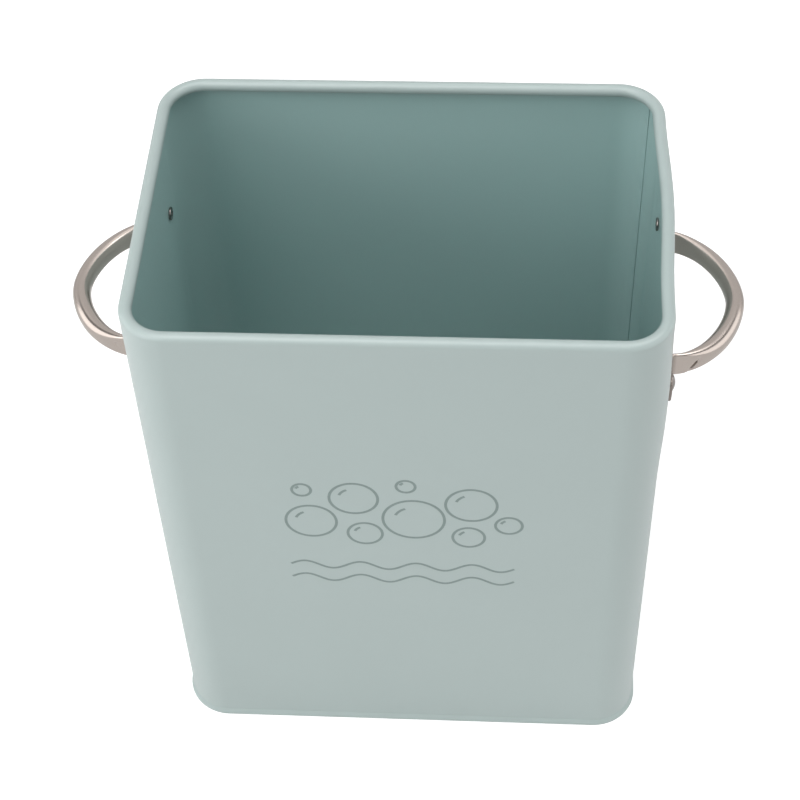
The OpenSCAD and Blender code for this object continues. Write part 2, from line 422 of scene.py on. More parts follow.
def round_the_tin():
    """The tin's outline in plan, from the middle of the right side, seen from above anticlockwise."""
    points = []
    for k in range(4):
        across, along = (HALF_W, HALF_D) if k % 2 == 0 else (HALF_D, HALF_W)
        reach = along - CORNER_R
        side = [(across, -reach + 2 * reach * s / SIDE_STEPS) for s in range(SIDE_STEPS)]
        side += arc(across - CORNER_R, reach, CORNER_R, 0, 90, CORNER_STEPS)[:-1]
        turn = Matrix.Rotation(math.radians(90 * k), 2)
        points += [tuple(turn @ Vector(p)) for p in side]
    return points


sheet_sweep = sweep_tree()
print("outline has", len(round_the_tin()), "points")

# %% [markdown]
# ## Wall
# The sheet's section is a long upright with the bead at its top: the sheet is rolled inwards
# over the top and round until its edge nearly meets the wall again. The tin has been handled:
# its right side is bowed out a little at the rim, and pulled out about a millimetre where the
# handle holds it. A smooth rule moves the points there, because a flat side would look too
# perfect, and a sculpted dent could not be changed by a number.

# %% Wall section and the bow of the right side
SHEET = 0.5 * MM
BEAD_R = 2.35 * MM
CURL = 300
CURL_STEPS, HOLLOW_STEPS = 48, 40
WALL_STEPS = 32
BEAD_FOOT = TOP - 2 * BEAD_R
BOW = 1.55 * MM
BOW_MIDDLE = 5 * MM
BOW_REACH = 47 * MM
BOW_RISE = 1.5
PULL_WIDE = (46 * MM, 64 * MM)
PULL_TALL = (8 * MM, 42 * MM)
INSIDE_SHADE_OVER = 0.2 * MM


def wall_section():
    """Distance outwards and height, all round the sheet's own thickness."""
    foot = wall_low.z
    head = TOP - BEAD_R
    outer = [(0.0, foot + (head - foot) * k / WALL_STEPS) for k in range(WALL_STEPS)]
    bead = arc(-BEAD_R, head, BEAD_R, 0, CURL, CURL_STEPS)
    inside = arc(-BEAD_R, head, BEAD_R - SHEET, CURL, 0, HOLLOW_STEPS)
    inner = [(-SHEET, z) for x, z in reversed(outer)]
    return [(out, -z) for out, z in outer + bead + inside + inner]


def mark_painted_inside_shade(piece):
    """Marks the inner faces of wall and lap below the bead, which get the painted shade of the inside.
    """
    lining = piece.data.attributes.new("lining", "FLOAT", "POINT")
    for vertex, mark in zip(piece.data.vertices, lining.data):
        x = abs(vertex.co.x) - HALF_W + CORNER_R
        y = abs(vertex.co.y) - HALF_D + CORNER_R
        depth = CORNER_R - math.hypot(max(x, 0.0), max(y, 0.0)) - min(max(x, y), 0.0)
        below_bead = vertex.co.z < BEAD_FOOT + INSIDE_SHADE_OVER
        mark.value = 1.0 if depth > SHEET / 2 and below_bead else 0.0


def fade(distance, near, far):
    """One up to the near distance, none from the far one, smooth between."""
    k = min(1.0, max(0.0, (far - distance) / (far - near)))
    return k * k * (3 - 2 * k)


def bow_right_side(piece):
    """Pushes the right side out, most at the rim, evenly where the handle holds it, not at the foot."""
    for vertex in piece.data.vertices:
        x, y, z = vertex.co
        if x > HALF_W - CORNER_R:
            reach = min(1.0, abs(y - BOW_MIDDLE) / BOW_REACH)
            bow = BOW * math.cos(reach * math.pi / 2) ** 2 * (z / TOP) ** BOW_RISE
            held = fade(abs(y), *PULL_WIDE) * fade(abs(z - HANDLE_Z), *PULL_TALL)
            vertex.co.x += bow + (PULL[RIGHT] - bow) * held


print("wall section has", len(wall_section()), "points")

# %% [markdown]
# The sheet's two ends overlap in the back right corner. Outside they lie flush, and inside the
# inner end shows as one upright edge with a fine dark slit. A wedge of sheet, thickest at that
# edge, is united with the wall, and a thin bar cuts the slit: a texture could draw the line, but
# not the step that the light catches. The wall is also drilled for the rivets: cylinders as wide
# as the holes cut it, and they cut the handles later. The two handles don't sit quite level.

# %% The lap and the rivet holes
SEAM = 42
LAP = 30
LAP_FADE = 18
LAP_STEPS = 16
LAP_THIN, LAP_THICK = 0.75, 1.25
SLIT = 0.36 * MM
SLIT_MIDDLE = 1.55 * SHEET
SLIT_DEPTH = 1.3 * SHEET
LAP_FOOT = 4.3 * MM
HOLE_R = 1.65 * MM
DRILL_LENGTH = 6 * MM
RIVET_Y = 40 * MM
SIDE_DROP = 0.6 * MM


def lap_wedge():
    """The inner end of the sheet, an upright wedge that follows the corner."""
    work = bmesh.new()
    levels = (LAP_FOOT, BEAD_FOOT)
    rows = []
    for k in range(LAP_STEPS + 1):
        passed = (LAP + LAP_FADE) * k / LAP_STEPS
        rise = min(passed / LAP, (LAP + LAP_FADE - passed) / LAP_FADE)
        angle = math.radians(SEAM - LAP + passed)
        for depth in (0.5 * SHEET, SHEET * (LAP_THIN + LAP_THICK * rise)):
            x = HALF_W - CORNER_R + (CORNER_R - depth) * math.cos(angle)
            y = HALF_D - CORNER_R + (CORNER_R - depth) * math.sin(angle)
            rows.append([work.verts.new((x, y, z)) for z in levels])
    for k in range(LAP_STEPS):
        (a, e), (b, f), (c, g), (d, h) = rows[2 * k : 2 * k + 4]
        for corners in ((a, c, d, b), (e, f, h, g), (a, e, g, c), (b, d, h, f)):
            work.faces.new(corners)
    for (a, e), (b, f) in (rows[:2], rows[-2:]):
        work.faces.new((a, b, f, e))
    bmesh.ops.recalc_face_normals(work, faces=work.faces)
    return shape_of("lap_wedge", work)


def lap_slit():
    """The open slit along the sheet's inner end, cut into the lap's inner face."""
    angle = math.radians(SEAM)
    reach = CORNER_R - SLIT_MIDDLE
    x = HALF_W - CORNER_R + reach * math.cos(angle)
    y = HALF_D - CORNER_R + reach * math.sin(angle)
    work = bmesh.new()
    size = Matrix.Diagonal((SLIT_DEPTH, SLIT, BEAD_FOOT - LAP_FOOT, 1.0))
    turn = Matrix.Rotation(angle, 4, "Z")
    place = Matrix.Translation((x, y, (LAP_FOOT + BEAD_FOOT) / 2))
    bmesh.ops.create_cube(work, size=1.0, matrix=place @ turn @ size)
    return shape_of("lap_slit", work)


def handle_level(side):
    """The height of one handle, a little above or below the middle of the two."""
    return HANDLE_Z - side * SIDE_DROP


def shanks(sides):
    """Cylinders as wide as the rivet holes, to cut them with."""
    work = bmesh.new()
    for side in sides:
        for end in (-1, 1):
            place = Matrix.Translation((side * HALF_W, end * RIVET_Y, handle_level(side)))
            turn = Matrix.Rotation(math.radians(90), 4, "Y")
            bmesh.ops.create_cone(
                work,
                cap_ends=True,
                segments=32,
                radius1=HOLE_R,
                radius2=HOLE_R,
                depth=DRILL_LENGTH,
                matrix=place @ turn,
            )
    return shape_of("shanks", work)


def make_wall():
    """The wall sheet with its rolled rim, lapped and drilled."""
    section = path("wall_section", wall_section(), closed=True)
    outline = path("wall_outline", round_the_tin(), closed=True)
    wall = grown("wall", outline, sheet_sweep, section=section, finish=enamel)
    bpy.data.objects.remove(section)
    carved(wall, lap_wedge(), "UNION")
    carved(wall, lap_slit(), "DIFFERENCE")
    carved(wall, shanks((LEFT, RIGHT)), "DIFFERENCE")
    mark_painted_inside_shade(wall)
    bow_right_side(wall)
    finished(wall, "painted_body", "body_wall")


make_wall()

# %% [markdown]
# ## Base
# The base is one pressed sheet. Its panel stands off the floor, its edge turns down inside the
# wall, under it and up again outside, and so grips it: a hem. The paint has filled the step at
# the hem's upper edge, so the section ends there in a soft slope and not in a corner. A bevel
# could soften it, but not over a run that is longer than the sheet is thick. The section leaves
# the panel's middle open, and the finishing step closes it with one flat face above and one
# below. A small bar cuts the nick that the hem has got in use.

# %% Base panel and hem
BASE_SHEET = 0.6 * MM
HEM = 1.0 * MM
BAND = 3.2 * MM
RUN_OUT = 2.6 * MM
RUN_OUT_BELOW = 0.8
RUN_OUT_STEPS = 10
LIFT = 3.4 * MM
NICK_X = -42.6 * MM
NICK_Z = 2.8 * MM
NICK_LEAN = 42
NICK_SIZE = (2.8 * MM, 1.9 * MM, 0.8 * MM)


def base_section():
    """Distance outwards and height, from the panel's underside round the hem to its upper side."""
    t = BASE_SHEET
    leg = -SHEET - t
    points = [(leg, LIFT)]
    points += arc(-SHEET, t, t, 180, 270, 6)
    points += arc(HEM - t, t, t, 270, 360, 8)
    for k in range(RUN_OUT_STEPS + 1):
        a = math.pi * k / RUN_OUT_STEPS
        points.append((HEM * (1 + math.cos(a)) / 2, BAND + RUN_OUT * (a / math.pi - RUN_OUT_BELOW)))
    points += [(0, t), (-SHEET, t)]
    points += arc(leg, LIFT, t, 0, 90, 8)
    return [(out, -z) for out, z in points]


def nick_tool():
    """A small bar that cuts the nick in the hem's upper edge, left of the middle of the front."""
    work = bmesh.new()
    place = Matrix.Translation((NICK_X, -HALF_D - HEM, NICK_Z))
    turn = Matrix.Rotation(math.radians(NICK_LEAN), 4, "Y")
    bmesh.ops.create_cube(work, size=1.0, matrix=place @ turn @ Matrix.Diagonal((*NICK_SIZE, 1.0)))
    return shape_of("nick", work)


def make_base():
    """The base panel with the hem that grips the wall's lower edge."""
    section = path("base_section", base_section())
    outline = path("base_outline", round_the_tin(), closed=True)
    base = grown("base", outline, sheet_sweep, section=section, finish=enamel)
    bpy.data.objects.remove(section)
    carved(base, nick_tool(), "DIFFERENCE")
    finished(base, "painted_body", "base_panel")


make_base()

# %% [markdown]
# ## Handles
# A tube that is pressed keeps its girth: what it loses in thickness it gains in height. So one
# rule gives every section from the thickness alone, which the path carries as its radius. The
# tree sweeps a circle of that radius, then pulls its upper and lower halves apart. It also
# rounds the tabs' corners and stores the direction of the polish for the steel's pattern.
# Scaling rings by hand could look the same, but one rule keeps the girth true when a size changes.

# %% Pressed tube tree
TUBE = 7.35 * MM
TAB_R = 2 * MM
FLAT_SHARE = 0.35
RING_POINTS = 120


def tube_tree():
    """Sweeps a pressed tube along a level path whose radius is half the tube's thickness."""
    tree, given, out = new_tree("pressed_tube", {
        "Tube Diameter": "Float",
        "Level": "Float",
        "Tab End": "Float",
        "Tab Corner": "Float",
        "Ring Points": "Int",
        "Finish": "Material",
    })
    radius = add(tree, "GeometryNodeInputRadius")
    length = add(tree, "GeometryNodeSplineParameter").outputs["Length"]
    place = add(tree, "GeometryNodeInputPosition")
    level = add(tree, "GeometryNodeSetCurveNormal", {"Curve": given["Geometry"]}, mode="Z_UP")
    along = add(tree, "GeometryNodeCaptureAttribute", {"Geometry": level})
    for number, (label, field) in enumerate({"half": radius.outputs[0], "run": length}.items(), 1):
        along.capture_items.new("FLOAT", label)
        tree.links.new(field, along.inputs[number])
    circle = add(tree, "GeometryNodeCurvePrimitiveCircle", {"Resolution": given["Ring Points"], 4: 1.0})
    around = add(tree, "GeometryNodeCaptureAttribute", {"Geometry": circle})
    around.capture_items.new("VECTOR", "side")
    tree.links.new(place.outputs[0], around.inputs[1])
    tube = add(tree, "GeometryNodeCurveToMesh", {
        "Curve": along.outputs[0],
        "Profile Curve": around.outputs[0],
        "Scale": radius,
        "Fill Caps": True,
    })

    where = add(tree, "ShaderNodeSeparateXYZ", {0: place}).outputs
    rise = add(tree, "ShaderNodeMath", {0: where["Z"], 1: given["Level"]}, operation="SUBTRACT")
    steep = add(tree, "ShaderNodeMath", {0: rise, 1: along.outputs[1]}, operation="DIVIDE")
    half = add(tree, "ShaderNodeMapRange", {0: steep, 1: -FLAT_SHARE, 2: FLAT_SHARE, 3: -1.0, 4: 1.0})
    round_tube = {0: given["Tube Diameter"], 1: math.pi / 4}
    girth = add(tree, "ShaderNodeMath", round_tube, operation="MULTIPLY")
    sides = {0: along.outputs[1], 1: -math.pi / 2, 2: girth}
    stretch = add(tree, "ShaderNodeMath", sides, operation="MULTIPLY_ADD")
    far = add(tree, "ShaderNodeMath", {0: where["Y"]}, operation="ABSOLUTE")
    ends = {0: given["Tab End"], 1: given["Tab Corner"]}
    near_end = add(tree, "ShaderNodeMath", ends, operation="SUBTRACT")
    into = add(tree, "ShaderNodeMapRange", {0: far, 1: near_end, 2: given["Tab End"]})
    square = add(tree, "ShaderNodeMath", {0: into, 1: into}, operation="MULTIPLY")
    rest = add(tree, "ShaderNodeMath", {0: 1.0, 1: square}, operation="SUBTRACT")
    round_off = add(tree, "ShaderNodeMath", {0: rest}, operation="SQRT")
    short = add(tree, "ShaderNodeMath", {0: 1.0, 1: round_off}, operation="SUBTRACT")
    loss = add(tree, "ShaderNodeMath", {0: short, 1: given["Tab Corner"]}, operation="MULTIPLY")
    reach = add(tree, "ShaderNodeMath", {0: stretch, 1: loss}, operation="SUBTRACT")
    pull = add(tree, "ShaderNodeMath", {0: half, 1: reach}, operation="MULTIPLY")
    offset = add(tree, "ShaderNodeCombineXYZ", {"Z": pull})
    pressed = add(tree, "GeometryNodeSetPosition", {"Geometry": tube, "Offset": offset})

    side = add(tree, "ShaderNodeSeparateXYZ", {0: around.outputs[1]}).outputs
    grain = add(tree, "ShaderNodeCombineXYZ", {"X": along.outputs[2], "Y": side["X"], "Z": side["Y"]})
    stored = add(
        tree,
        "GeometryNodeStoreNamedAttribute",
        {"Geometry": pressed, "Name": "grain"},
        data_type="FLOAT_VECTOR",
        domain="POINT",
    )
    value = next(s for s in stored.inputs if s.name == "Value" and s.enabled)
    tree.links.new(grain.outputs[0], value)
    solid = add(tree, "GeometryNodeRealizeInstances", {"Geometry": stored})
    finish = add(tree, "GeometryNodeSetMaterial", {"Geometry": solid, "Material": given["Finish"]})
    tree.links.new(finish.outputs[0], out["Geometry"])
    return tree


pressed_tube = tube_tree()
print("pressed tube tree has", len(pressed_tube.nodes), "nodes")

# %% [markdown]
# The centre line lies in a level plane: u is the distance from the wall and v runs along it.
# It starts on the front tab, turns through a tight bend away from the wall, follows a loop that
# is not quite as full as an ellipse out and back, and ends on the rear tab. Handles of a spline
# could draw it, but its fullness and its reach are two numbers here. Each front leg is bent a
# little off its place, as the photograph shows.

# %% Handle path
STRIP = 1.5 * MM
GRIP = 6.8 * MM
BEND_MID = 2.2 * MM
LOOP_REACH = 27.3 * MM
LEG_V = 30.6 * MM
FULLNESS = 1.78
PRESS_RUN = 18.5 * MM
PULL_RUN = 12 * MM
BEND_STEPS, LOOP_STEPS = 10, 100
TAB_END = RIVET_Y + 5.5 * MM
LEG_U = STRIP / 2 + BEND_MID
FRONT_SPREAD = {LEFT: -1.1 * MM, RIGHT: 0.7 * MM}


def thickness(u):
    """The tube opens from the flat strip to its full thickness over a smooth run."""
    k = min(1.0, max(0.0, (u - LEG_U) / PRESS_RUN))
    return STRIP + (GRIP - STRIP) * k * k * (3 - 2 * k)


def leg_v(u, leg):
    """How far from the middle a leg's centre line is at a distance u from the wall."""
    share = min(1.0, max(0.0, (u - LEG_U) / (LOOP_REACH - LEG_U)))
    return leg * (1 - share**FULLNESS) ** (1 / FULLNESS)


def half_path(leg):
    """From a tab to just before the nose, as u, v and half the thickness."""
    bend = leg + BEND_MID
    stations = [(STRIP / 2, TAB_END - TAB_R * (1 - x)) for x, y in arc(0, 0, 1, 0, 90, BEND_STEPS)]
    tight = arc(0, 0, BEND_MID, 180, 90, BEND_STEPS)[:-1]
    stations += [(u + LEG_U, bend - v) for u, v in tight]
    for k in range(LOOP_STEPS):
        across = math.cos(math.radians(90 - 90 * k / LOOP_STEPS)) ** (2 / FULLNESS)
        u = LEG_U + (LOOP_REACH - LEG_U) * across
        stations.append((u, leg_v(u, leg)))
    return [(u, v, thickness(u) / 2) for u, v in stations]


def handle_path(side):
    """The whole path of one handle, and its radii."""
    front = [(u, -v, r) for u, v, r in half_path(LEG_V + FRONT_SPREAD[side])]
    rows = front + [(LOOP_REACH, 0.0, thickness(LOOP_REACH) / 2)] + half_path(LEG_V)[::-1]
    outs = [HALF_W + u + PULL[side] * fade(u, STRIP, PULL_RUN) for u, v, r in rows]
    points = [(side * out, v, handle_level(side)) for out, (u, v, r) in zip(outs, rows)]
    return path("handle_path", points, radii=[r for u, v, r in rows])


print("half a path has", len(half_path(LEG_V)), "points")

# %% [markdown]
# Where the press lets go of the tube, the sheet folds into a short crease on the outer side of
# each leg: long and deep on the right handle, hardly more than a dimple on the left one. Each is
# a small sharp dent, deepest in its middle, that moves the tube's own points. A bump in the
# material would look like it in a picture, but the mesh has to show it without its material too.

# %% Handles
CREASES = {
    LEFT: {"u": 10.4 * MM, "rise": 1.3 * MM, "depth": 0.7 * MM, "long": 1.0 * MM, "lean": 60},
    RIGHT: {"u": 10.3 * MM, "rise": -2.0 * MM, "depth": 1.15 * MM, "long": 3.4 * MM, "lean": 57},
}
CREASE_WIDE = 0.5 * MM


def press_creases(piece, side):
    """Dents the outer side of both legs where the pressed flat ends."""
    crease = CREASES[side]
    lean = math.radians(crease["lean"])
    for vertex in piece.data.vertices:
        x, y, z = vertex.co
        u = abs(x) - HALF_W - PULL[side]
        leg = LEG_V + (FRONT_SPREAD[side] if y < 0 else 0)
        if abs(y) > leg_v(u, leg):
            forth, rise = u - crease["u"], z - HANDLE_Z - crease["rise"]
            run = forth * math.cos(lean) + rise * math.sin(lean)
            across = rise * math.cos(lean) - forth * math.sin(lean)
            dent = math.exp(-((run / crease["long"]) ** 2) - abs(across) / CREASE_WIDE)
            vertex.co.y -= math.copysign(crease["depth"] * dent, y)


def make_handle(name, side, node):
    """One handle: the pressed tube along its path, creased and drilled."""
    sizes = {"level": handle_level(side), "tab_end": TAB_END, "tab_corner": TAB_R}
    sizes |= {"tube_diameter": TUBE, "ring_points": RING_POINTS}
    handle = grown(name, handle_path(side), pressed_tube, finish=tube_steel, **sizes)
    press_creases(handle, side)
    carved(handle, shanks([side]), "DIFFERENCE")
    finished(handle, "handle_steel", node)


make_handle("loop_left", LEFT, "left_handle")
make_handle("loop_right", RIGHT, "right_handle")

# %% [markdown]
# ## Rivets
# Each rivet is turned from one section: a domed head outside, a shank, and inside the wall an
# end that was clinched round, with a dimple. Four copies could be placed by hand. The tree sets
# one at each corner of a rectangle, moves those on the right out with their side, turns those on
# the left to face left, and rolls each about its own axis by a fixed chance.

# %% Rivets
SHANK_R = 1.6 * MM
HEAD_R = 3.25 * MM
HEAD_H = 1.4 * MM
HEAD_EDGE = 0.3 * MM
CLINCH_R = 2.7 * MM
CLINCH_H = 1.0 * MM
DIMPLE_DEPTH = 0.7 * CLINCH_H
DIMPLE_R = 0.4 * CLINCH_R
STUB_R = 0.6 * DIMPLE_R
ROLL_SEED = 3


def rivet_section():
    """Place along the axis, outwards from the wall's outer face, and radius."""
    cap = HEAD_H - HEAD_EDGE
    dome_r = (HEAD_R**2 + cap**2) / (2 * cap)
    spread = math.degrees(math.asin(HEAD_R / dome_r))
    base_x = STRIP + HEAD_EDGE
    inside = -SHEET - CLINCH_H
    floor_x = inside + DIMPLE_DEPTH
    points = arc(base_x + cap - dome_r, 0, dome_r, 0, spread, 10)
    points += [(STRIP, HEAD_R), (STRIP, SHANK_R), (-SHEET, SHANK_R)]
    points += arc(-SHEET - CLINCH_H / 2, CLINCH_R - CLINCH_H / 2, CLINCH_H / 2, 0, 180, 12)
    points += [(inside, DIMPLE_R), (floor_x, DIMPLE_R)]
    points += arc(floor_x, 0, STUB_R, 90, 180, 6)
    return points


def turned(name, section, steps=40):
    """A shape turned about the X axis from a section of places along it and radii."""
    work = bmesh.new()
    verts = [work.verts.new((x, 0, r)) for x, r in section]
    edges = [work.edges.new(pair) for pair in zip(verts, verts[1:])]
    spun = verts + edges
    bmesh.ops.spin(work, geom=spun, cent=(0, 0, 0), axis=(1, 0, 0), angle=math.tau, steps=steps)
    bmesh.ops.remove_doubles(work, verts=work.verts, dist=WELD)
    return shape_of(name, work)


def rivet_tree():
    """Sets the rivet that the modifier sits on at the four corners of the two side walls."""
    sizes = dict.fromkeys(("Width", "Pitch", "Level", "Slope", "Right Pull"), "Float")
    tree, given, out = new_tree("rivet_setting", sizes | {"Finish": "Material"})
    grid = {"Size X": given["Width"], "Size Y": given["Pitch"], "Vertices X": 2, "Vertices Y": 2}
    corners = add(tree, "GeometryNodeMeshGrid", grid)
    where = add(tree, "ShaderNodeSeparateXYZ", {0: add(tree, "GeometryNodeInputPosition")})
    height = {0: where.outputs["X"], 1: given["Slope"], 2: given["Level"]}
    level = add(tree, "ShaderNodeMath", height, operation="MULTIPLY_ADD")
    left = add(tree, "ShaderNodeMath", {0: where.outputs["X"], 1: 0.0}, operation="LESS_THAN")
    pull = add(tree, "ShaderNodeMapRange", {0: left, 3: given["Right Pull"], 4: 0.0})
    lift = add(tree, "ShaderNodeCombineXYZ", {"X": pull, "Z": level})
    raised = add(tree, "GeometryNodeSetPosition", {"Geometry": corners, "Offset": lift})
    face = add(tree, "ShaderNodeMath", {0: left, 1: math.pi}, operation="MULTIPLY")
    chance = {2: 0.0, 3: math.tau, "Seed": ROLL_SEED}
    roll = add(tree, "FunctionNodeRandomValue", chance, data_type="FLOAT")
    turn = add(tree, "ShaderNodeCombineXYZ", {"X": roll.outputs[1], "Z": face})
    shapes = {"Points": raised, "Instance": given["Geometry"], "Rotation": turn}
    four = add(tree, "GeometryNodeInstanceOnPoints", shapes)
    solid = add(tree, "GeometryNodeRealizeInstances", {0: four})
    finish = add(tree, "GeometryNodeSetMaterial", {"Geometry": solid, "Material": given["Finish"]})
    tree.links.new(finish.outputs[0], out["Geometry"])
    return tree


def make_rivets():
    """All four rivets, one piece."""
    shape = turned("rivet", rivet_section())
    sizes = {"width": 2 * HALF_W, "pitch": 2 * RIVET_Y, "level": HANDLE_Z}
    sizes |= {"slope": -SIDE_DROP / HALF_W, "right_pull": PULL[RIGHT]}
    rivets = grown("rivets", shape, rivet_tree(), finish=rivet_steel, **sizes)
    nodes = [f"{side}_{end}_rivet" for side in ("left", "right") for end in ("front", "back")]
    finished(rivets, "rivet_steel", *nodes)


make_rivets()

# %% [markdown]
# ## Print
# The front has a grey print of thin lines. It is a plain drawing here: soap bubbles, each a
# ring with a glint, above two waves. The tree draws rings and waves flat as curves, gives each
# line the same width, and stands the drawing up on the front face as a very thin layer. The
# wall's own colour could carry the lines, but a layer of ink stays sharp close up.

# %% Bubbles and waves
LINE = 1.1 * MM
INK = 0.06 * MM
INK_GREY = "#7F8F8C"
SPECKS = 0.8 * MM
SPECK_TONE = (0.9, 1.1)
RING_STEPS, GLINT_STEPS, WAVE_POINTS = 64, 16, 97
GLINT_SIZE = 0.62
GLINT_START, GLINT_SWEEP = math.radians(115), math.radians(45)
# Each bubble's middle, sideways and upwards, and its radius, in millimetres.
BUBBLES = (
    (-33.5, 141, 9.5),
    (-13.5, 134, 6.5),
    (-17, 155.5, 9),
    (5, 143.5, 11.5),
    (25.5, 133, 6),
    (26.5, 153, 9.5),
    (40.5, 141, 5),
    (2.5, 163.5, 3.5),
    (-36, 160, 3.5),
)
WAVE = 21.5 * MM
SWING = 2.2 * MM
WAVE_REACH = 43 * MM
WAVE_LEVELS = (113 * MM, 104.5 * MM)


def ink_tree():
    """Draws the bubbles whose middles and sizes the modifier's mesh gives, and the waves."""
    inputs = {"Line Width": "Float", "Ink Height": "Float", "Front": "Float", "Finish": "Material"}
    tree, given, out = new_tree("line_print", inputs)
    ring = add(tree, "GeometryNodeCurvePrimitiveCircle", {"Resolution": RING_STEPS, 4: 1.0})
    sweep = {"Resolution": GLINT_STEPS, "Radius": GLINT_SIZE}
    sweep |= {"Start Angle": GLINT_START, "Sweep Angle": GLINT_SWEEP}
    glint = add(tree, "GeometryNodeCurveArc", sweep)
    bubble = add(tree, "GeometryNodeJoinGeometry", {0: ring})
    tree.links.new(glint.outputs[0], bubble.inputs[0])
    size = add(tree, "GeometryNodeInputNamedAttribute", {"Name": "size"}, data_type="FLOAT")
    shapes = {"Points": given["Geometry"], "Instance": bubble, "Scale": size}
    bubbles = add(tree, "GeometryNodeInstanceOnPoints", shapes)
    drawing = add(tree, "GeometryNodeJoinGeometry", {0: bubbles})
    for rise in WAVE_LEVELS:
        ends = {"Start": (-WAVE_REACH, rise, 0), "End": (WAVE_REACH, rise, 0)}
        line = add(tree, "GeometryNodeCurvePrimitiveLine", ends)
        fine = add(tree, "GeometryNodeResampleCurve", {"Curve": line, "Count": WAVE_POINTS})
        where = add(tree, "ShaderNodeSeparateXYZ", {0: add(tree, "GeometryNodeInputPosition")})
        along = {0: where.outputs["X"], 1: math.tau / WAVE}
        phase = add(tree, "ShaderNodeMath", along, operation="MULTIPLY")
        swing = add(tree, "ShaderNodeMath", {0: phase}, operation="SINE")
        height = add(tree, "ShaderNodeMath", {0: swing, 1: SWING}, operation="MULTIPLY")
        offset = add(tree, "ShaderNodeCombineXYZ", {"Y": height})
        wave = add(tree, "GeometryNodeSetPosition", {"Geometry": fine, "Offset": offset})
        tree.links.new(wave.outputs[0], drawing.inputs[0])
    lines = add(tree, "GeometryNodeRealizeInstances", {0: drawing})
    level = add(tree, "GeometryNodeSetCurveNormal", {"Curve": lines}, mode="Z_UP")
    width = {"Width": given["Line Width"], "Height": given["Ink Height"]}
    nib = add(tree, "GeometryNodeCurvePrimitiveQuadrilateral", width)
    ink = add(tree, "GeometryNodeCurveToMesh", {"Curve": level, "Profile Curve": nib, "Fill Caps": True})
    place = add(tree, "ShaderNodeCombineXYZ", {"Y": given["Front"]})
    stood = {"Geometry": ink, "Translation": place, "Rotation": (math.radians(90), 0, 0)}
    upright = add(tree, "GeometryNodeTransform", stood)
    solid = add(tree, "GeometryNodeRealizeInstances", {"Geometry": upright})
    finish = add(tree, "GeometryNodeSetMaterial", {"Geometry": solid, "Material": given["Finish"]})
    tree.links.new(finish.outputs[0], out["Geometry"])
    return tree


def printing_ink():
    """Pad-printing ink: flat grey without a shine, a little uneven where the pad lifted."""
    material = bpy.data.materials.new("pad_printing_ink")
    material.use_nodes = True
    tree = material.node_tree
    shader = tree.nodes["Principled BSDF"]
    place = add(tree, "ShaderNodeTexCoord").outputs["Object"]
    specks = add(tree, "ShaderNodeTexNoise", {"Vector": place, "Scale": 1 / SPECKS, "Detail": 2.0})
    uneven = {0: specks.outputs["Fac"], 3: SPECK_TONE[0], 4: SPECK_TONE[1]}
    tone = add(tree, "ShaderNodeMapRange", uneven)
    colour = add(tree, "ShaderNodeHueSaturation", {"Value": tone, "Color": linear(INK_GREY)})
    tree.links.new(colour.outputs[0], shader.inputs["Base Color"])
    shader.inputs["Roughness"].default_value = 0.5
    return material


def make_print():
    """The bubbles and waves on the front."""
    mesh = bpy.data.meshes.new("bubble_middles")
    mesh.from_pydata([(x * MM, z * MM, 0) for x, z, r in BUBBLES], [], [])
    size = mesh.attributes.new("size", "FLOAT", "POINT")
    size.data.foreach_set("value", [r * MM for x, z, r in BUBBLES])
    middles = bpy.data.objects.new("bubble_middles", mesh)
    bpy.context.scene.collection.objects.link(middles)
    sizes = {"line_width": LINE, "ink_height": INK, "front": -HALF_D}
    drawing = grown("bubble_print", middles, ink_tree(), finish=printing_ink(), **sizes)
    finished(drawing, None)


make_print()

# %% [markdown]
# ## Stage and light
# A white floor and a white surround. The camera sees them as plain white, through Light Path, so
# white needs no strong light. Steel and paint reflect nearly the same white, but with a dark gap
# at each side, between the light overhead and the low ones, which draws the dark streaks along
# the handles. The light itself is soft: a wide softbox overhead, a key light over the front, a
# low wide one at each side, one more over the right side, and two weak ones in front. Their
# levels are such that the paint renders about as its colour is written. A picture of a studio
# could light the tin too, but lamps and angles can be changed one at a time.

# %% Floor
FLOOR_GREY = "#EDEDED"
FLOOR_LIFT = 0.45
GLOSS_LIFT = 0.05
FLOOR_REACH = 3.0


def by_ray(tree, others, reflected, seen):
    """One level for light itself, one for what steel and paint reflect, one for the camera."""
    rays = add(tree, "ShaderNodeLightPath").outputs
    gloss = {0: rays["Is Glossy Ray"], 1: rays["Is Transmission Ray"]}
    mirrored = add(tree, "ShaderNodeMath", gloss, operation="MAXIMUM")
    level = add(tree, "ShaderNodeMapRange", {0: mirrored, 3: others, 4: reflected})
    return add(tree, "ShaderNodeMapRange", {0: rays["Is Camera Ray"], 3: level, 4: seen})


def floor_material():
    """Matt white board that the eye sees as plain white, apart from the soft shadow on it."""
    material = bpy.data.materials.new("floor_white")
    material.use_nodes = True
    tree = material.node_tree
    tree.nodes.clear()
    lift = by_ray(tree, 0.0, GLOSS_LIFT, FLOOR_LIFT)
    white = add(tree, "ShaderNodeBsdfDiffuse", {"Color": linear(FLOOR_GREY)})
    glow = add(tree, "ShaderNodeEmission", {"Strength": lift})
    both = add(tree, "ShaderNodeAddShader", {0: white, 1: glow})
    add(tree, "ShaderNodeOutputMaterial", {"Surface": both})
    return material


def make_floor():
    """A square of floor under the tin, wide enough for the shadow and for what steel reflects."""
    mesh = bpy.data.meshes.new("floor")
    signs = ((-1, -1), (1, -1), (1, 1), (-1, 1))
    corners = [(x * FLOOR_REACH, y * FLOOR_REACH, 0) for x, y in signs]
    mesh.from_pydata(corners, [], [(0, 1, 2, 3)])
    mesh.materials.append(floor_material())
    floor = bpy.data.objects.new("floor", mesh)
    bpy.context.scene.collection.objects.link(floor)
    return floor


print("stage:", make_floor().name)

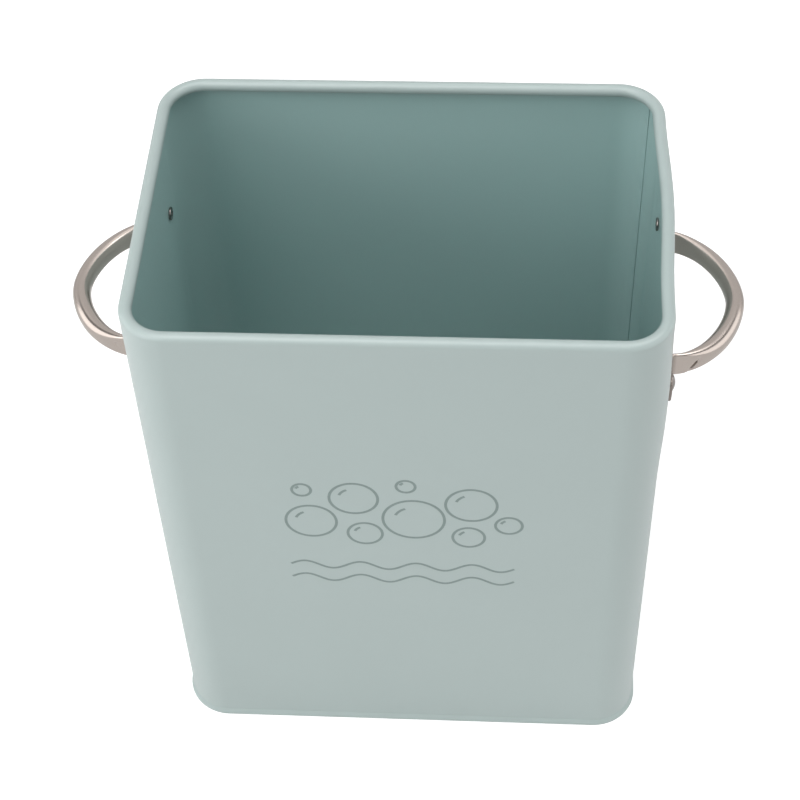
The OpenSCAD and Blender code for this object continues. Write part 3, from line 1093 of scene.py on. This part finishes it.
# %% World and lamps
AMBIENT = 0.2
STUDIO = 0.85
STUDIO_GAP = 0.25
# The gap's lower and upper borders, in degrees of lean from straight up, and how far it reaches
# towards the back, as the share of a direction that points there.
GAP_FROM = (32, 39)
GAP_TO = (50, 56)
GAP_BACK = (0.35, 0.6)
AIM = Vector((0, 0, 0.15))
SOFTBOXES = {
    "top": {"place": (0, 0.1, 2.2), "wide": 2.4, "high": 2.4, "power": 12.0},
    "key": {"place": (-0.3, -0.55, 1.5), "wide": 0.9, "high": 0.9, "power": 6.7},
    "front": {"place": (-0.35, -1.3, 1.15), "wide": 1.1, "high": 1.1, "power": 0.6},
    "front_left": {"place": (-0.8, -1.1, 0.9), "wide": 0.9, "high": 0.9, "power": 3.8},
    "left": {"place": (-1.2, -0.4, 0.5), "wide": 1.9, "high": 1.1, "power": 9.2},
    "right": {"place": (1.2, -0.15, 0.45), "wide": 1.7, "high": 0.9, "power": 4.8},
    "right_top": {"place": (0.7, 0.1, 1.7), "wide": 0.9, "high": 0.9, "power": 7.2},
}


def make_world():
    """White where it is seen, dark between the softboxes, and a faint even light from all round."""
    world = bpy.data.worlds.new("surround")
    bpy.context.scene.world = world
    world.use_nodes = True
    tree = world.node_tree
    towards = add(tree, "ShaderNodeSeparateXYZ", {0: add(tree, "ShaderNodeTexCoord")}).outputs
    aside = add(tree, "ShaderNodeMath", {0: towards["X"]}, operation="ABSOLUTE")
    lean = add(tree, "ShaderNodeMath", {0: aside, 1: towards["Z"]}, operation="ARCTAN2")
    steps = [{0: lean, 1: math.radians(a), 2: math.radians(b)} for a, b in (GAP_FROM, GAP_TO)]
    into, beyond = (add(tree, "ShaderNodeMapRange", s, interpolation_type="SMOOTHSTEP") for s in steps)
    gap = add(tree, "ShaderNodeMath", {0: into, 1: beyond}, operation="SUBTRACT")
    sides = {0: towards["Y"], 1: GAP_BACK[0], 2: GAP_BACK[1], 3: 1.0, 4: 0.0}
    beside = add(tree, "ShaderNodeMapRange", sides, interpolation_type="SMOOTHSTEP")
    dark = add(tree, "ShaderNodeMath", {0: gap, 1: beside}, operation="MULTIPLY")
    studio = add(tree, "ShaderNodeMapRange", {0: dark, 3: STUDIO, 4: STUDIO_GAP})
    strength = by_ray(tree, AMBIENT, studio, 1.0)
    tree.links.new(strength.outputs[0], tree.nodes["Background"].inputs["Strength"])
    tree.nodes["Background"].inputs["Color"].default_value = (1, 1, 1, 1)


def softbox(name, place, wide, high, power):
    """A softbox at a place, turned to the middle of the tin."""
    lamp = bpy.data.objects.new(name, bpy.data.lights.new(name, "AREA"))
    lamp.data.shape = "RECTANGLE"
    lamp.data.size = wide
    lamp.data.size_y = high
    lamp.data.energy = power
    lamp.location = place
    lamp.rotation_euler = (AIM - Vector(place)).to_track_quat("-Z", "Y").to_euler()
    bpy.context.scene.collection.objects.link(lamp)


make_world()
for name, settings in SOFTBOXES.items():
    softbox(name, **settings)
bpy.context.scene.view_settings.view_transform = "Standard"
print("lit by", len(SOFTBOXES), "softboxes")
